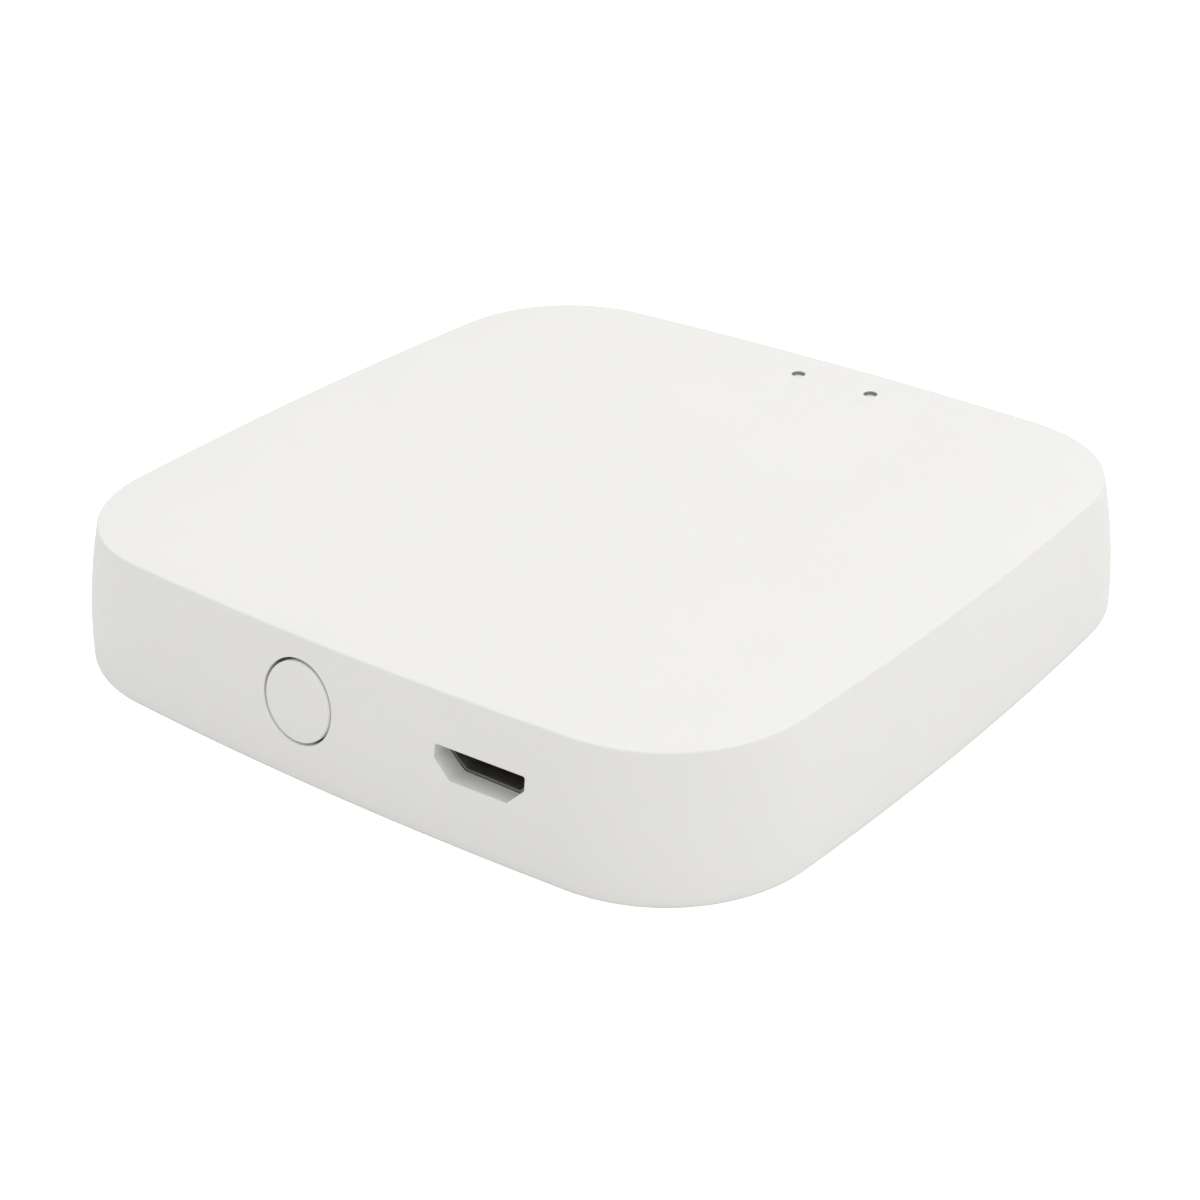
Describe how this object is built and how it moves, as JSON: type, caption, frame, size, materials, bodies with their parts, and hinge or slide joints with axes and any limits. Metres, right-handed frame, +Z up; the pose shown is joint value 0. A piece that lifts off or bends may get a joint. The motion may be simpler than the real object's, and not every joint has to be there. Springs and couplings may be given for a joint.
{
  "type": "smart home hub",
  "caption": "Low white rounded-square smart home hub with a side push button, a micro-USB power inlet and top status lights",
  "frame": {"origin": "centre of the footprint on the plane that the feet rest on", "axes": "+Z up through the top face, +Y towards the back wall near the status lights, -Y out through the wall that holds the button and the micro-USB inlet, +X to the right"},
  "size_m": [0.065, 0.065, 0.013],
  "materials": {
    "shell_white": "fine matte moulded texture",
    "cover_white": "fine matte moulded texture",
    "button_white": "satin moulded",
    "foot_rubber": "matte, slightly grained",
    "screw_steel": "nickel plated",
    "label_film": "satin silver film",
    "board_green": "satin solder mask",
    "switch_black": "moulded",
    "switch_metal": "stamped, tinned",
    "plunger_ivory": "moulded",
    "dome_steel": "spring steel",
    "tinned_lead": "tinned",
    "inlet_steel": "stamped, nickel plated",
    "inlet_black": "moulded",
    "contact_gold": "gold plated",
    "lamp_white": "glossy lens",
    "light_pipe": "milky clear moulding",
    "sleeve_grey": "moulded",
    "module_board": "satin solder mask",
    "shield_tin": "tinned sheet",
    "antenna_gold": "gold flash on copper",
    "chip_black": "moulded",
    "crystal_can": "brushed lid",
    "inductor_ferrite": "pressed ferrite",
    "tantalum_case": "moulded",
    "resistor_body": "glazed, with tinned ends",
    "capacitor_body": "fired ceramic, with tinned ends"
  },
  "bodies": {
    "hub": {"top_shell": "shell_white", "bottom_cover": "cover_white", "foot_front_left": "foot_rubber", "foot_front_right": "foot_rubber", "foot_rear_left": "foot_rubber", "foot_rear_right": "foot_rubber", "cover_screws": "screw_steel", "rating_label": "label_film", "main_board": "board_green", "switch_body": "switch_black", "switch_cover": "switch_metal", "switch_dome": "dome_steel", "switch_terminals": "tinned_lead", "usb_shell": "inlet_steel", "usb_insulator": "inlet_black", "usb_contacts": "contact_gold", "status_led_left": "lamp_white", "status_led_right": "lamp_white", "light_pipe_left": "light_pipe", "light_pipe_right": "light_pipe", "light_sleeve_left": "sleeve_grey", "light_sleeve_right": "sleeve_grey", "wifi_board": "module_board", "wifi_shield": "shield_tin", "wifi_antenna": "antenna_gold", "wifi_chip": "chip_black", "wifi_flash": "chip_black", "wifi_crystal": "crystal_can", "zigbee_board": "module_board", "zigbee_shield": "shield_tin", "zigbee_antenna": "antenna_gold", "zigbee_chip": "chip_black", "zigbee_crystal": "crystal_can", "esd_diode": "chip_black", "buck_regulator": "chip_black", "power_inductor": "inductor_ferrite", "input_capacitor": "tantalum_case", "output_capacitor": "tantalum_case", "chip_resistors": "resistor_body", "chip_capacitors": "capacitor_body"},
    "button": {"button_cap": "button_white"},
    "plunger": {"switch_plunger": "plunger_ivory"}
  },
  "joints": [
    {"name": "button_press", "type": "slide", "parent": "hub", "child": "button", "axis": [0, 1, 0], "range_m": [0, 0.00025], "stiffness_N_per_m": 4000, "springref_m": -0.00015},
    {"name": "plunger_press", "type": "slide", "parent": "hub", "child": "plunger", "axis": [0, 1, 0], "range_m": [0, 0.00025], "deforming": ["switch_dome"]}
  ],
  "couplings": [
    {"joint": "plunger_press", "follows": "button_press", "ratio": 1}
  ]
}
